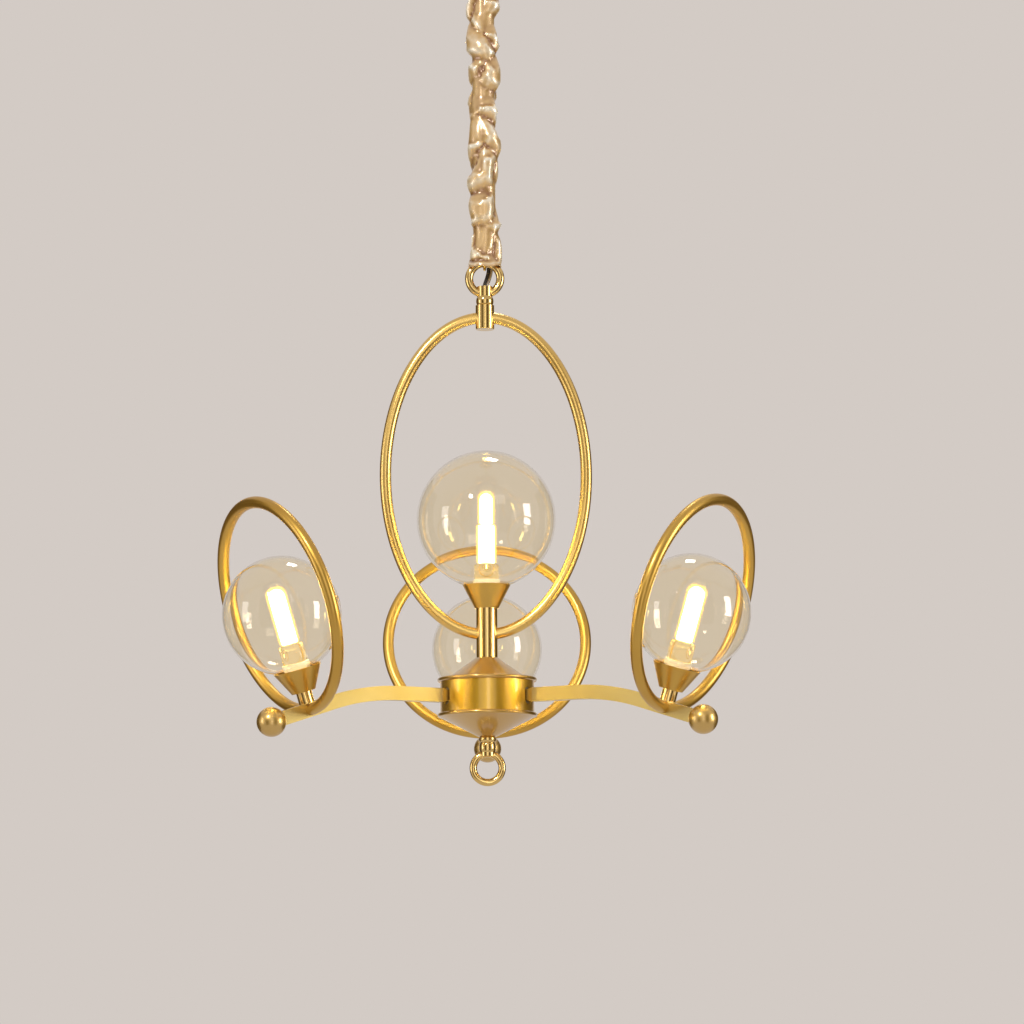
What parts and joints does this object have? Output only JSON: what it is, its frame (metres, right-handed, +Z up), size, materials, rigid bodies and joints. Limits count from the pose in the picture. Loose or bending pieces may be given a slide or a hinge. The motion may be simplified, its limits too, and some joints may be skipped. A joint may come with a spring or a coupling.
{
  "type": "chandelier",
  "caption": "Gold chandelier on a satin-sleeved chain: an oval tube round a centre globe light, and drooping arms with globe lights inside tube rings.",
  "frame": {"origin": "middle of the mounting bar's ceiling face, on the hanging axis", "axes": "+Z up towards the ceiling; the back arm points along +Y, away from the camera; +X is the viewer's right"},
  "size_m": [0.459, 0.4322, 0.7623],
  "materials": {
    "gold": "satin gold plate",
    "steel": "zinc plated",
    "glass": "clear blown glass with a light champagne tint",
    "bulb": "lit frosted tube on a clear base",
    "ceramic": "glazed ceramic",
    "satin": "gathered champagne satin",
    "cable": "clear flat twin flex",
    "wire": "insulated wire",
    "plastic": "moulded"
  },
  "bodies": {
    "canopy": {"canopy_cup": "gold", "mounting_bar": "steel", "canopy_screws": "steel", "canopy_cap_nuts": "gold", "canopy_loop": "gold", "canopy_loop_nut": "steel", "terminal_block": "plastic", "supply_cable": "cable"},
    "link_1": {"chain_link_1": "gold"},
    "link_2": {"chain_link_2": "gold"},
    "link_3": {"chain_link_3": "gold"},
    "link_4": {"chain_link_4": "gold", "chain_sleeve": "satin"},
    "link_5": {"chain_link_5": "gold"},
    "link_6": {"chain_link_6": "gold"},
    "link_7": {"chain_link_7": "gold"},
    "fixture": {"arm_back": "gold", "arm_left": "gold", "arm_nuts": "steel", "arm_right": "gold", "ball_back": "gold", "ball_left": "gold", "ball_right": "gold", "bottom_loop": "gold", "bulb_back": "bulb", "bulb_centre": "bulb", "bulb_left": "bulb", "bulb_right": "bulb", "centre_stem": "gold", "cup_back": "gold", "cup_centre": "gold", "cup_left": "gold", "cup_right": "gold", "hub_bottom_cover": "gold", "hub_drum": "gold", "hub_frame": "steel", "hub_nuts": "steel", "hub_rod": "steel", "hub_top_cover": "gold", "inner_wires": "wire", "oval_left": "gold", "oval_right": "gold", "ring_back": "gold", "ring_left": "gold", "ring_right": "gold", "socket_back": "ceramic", "socket_centre": "ceramic", "socket_left": "ceramic", "socket_right": "ceramic", "stem_back": "gold", "stem_left": "gold", "stem_right": "gold", "top_coupling": "gold", "top_loop": "gold", "wire_connectors": "plastic"},
    "globe_centre": {"globe_centre": "glass"},
    "globe_left": {"globe_left": "glass"},
    "globe_right": {"globe_right": "glass"},
    "globe_back": {"globe_back": "glass"}
  },
  "joints": [
    {"name": "link_1_swing", "type": "hinge", "parent": "canopy", "child": "link_1", "pos_m": [0, 0, -0.0637], "axis": [1, 0, 0], "range_deg": [-15, 15], "deforming": ["chain_sleeve", "supply_cable"]},
    {"name": "link_2_swing", "type": "hinge", "parent": "link_1", "child": "link_2", "pos_m": [0, 0, -0.0972], "axis": [0, 1, 0], "range_deg": [-15, 15], "deforming": ["chain_sleeve", "supply_cable"]},
    {"name": "link_3_swing", "type": "hinge", "parent": "link_2", "child": "link_3", "pos_m": [0, 0, -0.1329], "axis": [1, 0, 0], "range_deg": [-15, 15], "deforming": ["chain_sleeve", "supply_cable"]},
    {"name": "link_4_swing", "type": "hinge", "parent": "link_3", "child": "link_4", "pos_m": [0, 0, -0.1686], "axis": [0, 1, 0], "range_deg": [-15, 15], "deforming": ["chain_sleeve", "supply_cable"]},
    {"name": "link_5_swing", "type": "hinge", "parent": "link_4", "child": "link_5", "pos_m": [0, 0, -0.2043], "axis": [1, 0, 0], "range_deg": [-15, 15], "deforming": ["chain_sleeve", "supply_cable"]},
    {"name": "link_6_swing", "type": "hinge", "parent": "link_5", "child": "link_6", "pos_m": [0, 0, -0.24], "axis": [0, 1, 0], "range_deg": [-15, 15], "deforming": ["chain_sleeve", "supply_cable"]},
    {"name": "link_7_swing", "type": "hinge", "parent": "link_6", "child": "link_7", "pos_m": [0, 0, -0.2757], "axis": [1, 0, 0], "range_deg": [-15, 15], "deforming": ["chain_sleeve", "supply_cable"]},
    {"name": "fixture_swing", "type": "hinge", "parent": "link_7", "child": "fixture", "pos_m": [0, 0, -0.3114], "axis": [0, 1, 0], "range_deg": [-15, 15], "deforming": ["chain_sleeve", "supply_cable"]},
    {"name": "globe_centre_turn", "type": "hinge", "parent": "fixture", "child": "globe_centre", "pos_m": [0, 0, -0.609], "axis": [0, 0, 1], "range_deg": [0, 450]},
    {"name": "globe_left_turn", "type": "hinge", "parent": "fixture", "child": "globe_left", "pos_m": [-0.14939, -0.08625, -0.70305], "axis": [-0.2676, -0.1545, 0.9511], "range_deg": [0, 450]},
    {"name": "globe_right_turn", "type": "hinge", "parent": "fixture", "child": "globe_right", "pos_m": [0.14939, -0.08625, -0.70305], "axis": [0.2676, -0.1545, 0.9511], "range_deg": [0, 450]},
    {"name": "globe_back_turn", "type": "hinge", "parent": "fixture", "child": "globe_back", "pos_m": [0, 0.1725, -0.70305], "axis": [0, 0.309, 0.9511], "range_deg": [0, 450]}
  ]
}
